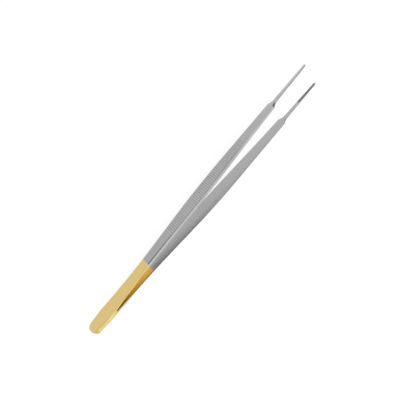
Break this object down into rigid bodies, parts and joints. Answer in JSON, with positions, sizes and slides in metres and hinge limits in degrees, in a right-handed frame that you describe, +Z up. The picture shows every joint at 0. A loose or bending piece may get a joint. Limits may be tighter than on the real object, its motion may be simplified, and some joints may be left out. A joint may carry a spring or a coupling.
{
  "type": "tissue forceps",
  "caption": "Slender straight tissue forceps with gold plated rear, ribbed grips and thin round-nosed tips with hard metal inserts; the limbs spring open.",
  "frame": {"origin": "on the table under the middle of the length, with the forceps lying on its side", "axes": "+X from the butt to the tips, +Y from the middle plane to the left half, +Z up across the width of the halves"},
  "size_m": [0.18, 0.0168, 0.0084],
  "materials": {
    "gold_plate": "gold plated stainless steel",
    "satin_steel": "satin stainless steel",
    "hard_metal": "fine cross cut hard metal"
  },
  "bodies": {
    "rear": {"left_rear": "gold_plate", "right_rear": "gold_plate"},
    "left_limb": {"left_limb": "satin_steel", "left_insert": "hard_metal"},
    "right_limb": {"right_limb": "satin_steel", "right_insert": "hard_metal"}
  },
  "joints": [
    {"name": "left_limb_closes", "type": "hinge", "parent": "rear", "child": "left_limb", "pos_m": [-0.0429, 0.00219, 0.0042], "axis": [0, 0, -1], "range_deg": [0, 3.24], "stiffness_Nm_per_rad": 1.5},
    {"name": "right_limb_closes", "type": "hinge", "parent": "rear", "child": "right_limb", "pos_m": [-0.0429, -0.00219, 0.0042], "axis": [0, 0, 1], "range_deg": [0, 3.24], "stiffness_Nm_per_rad": 1.5}
  ]
}
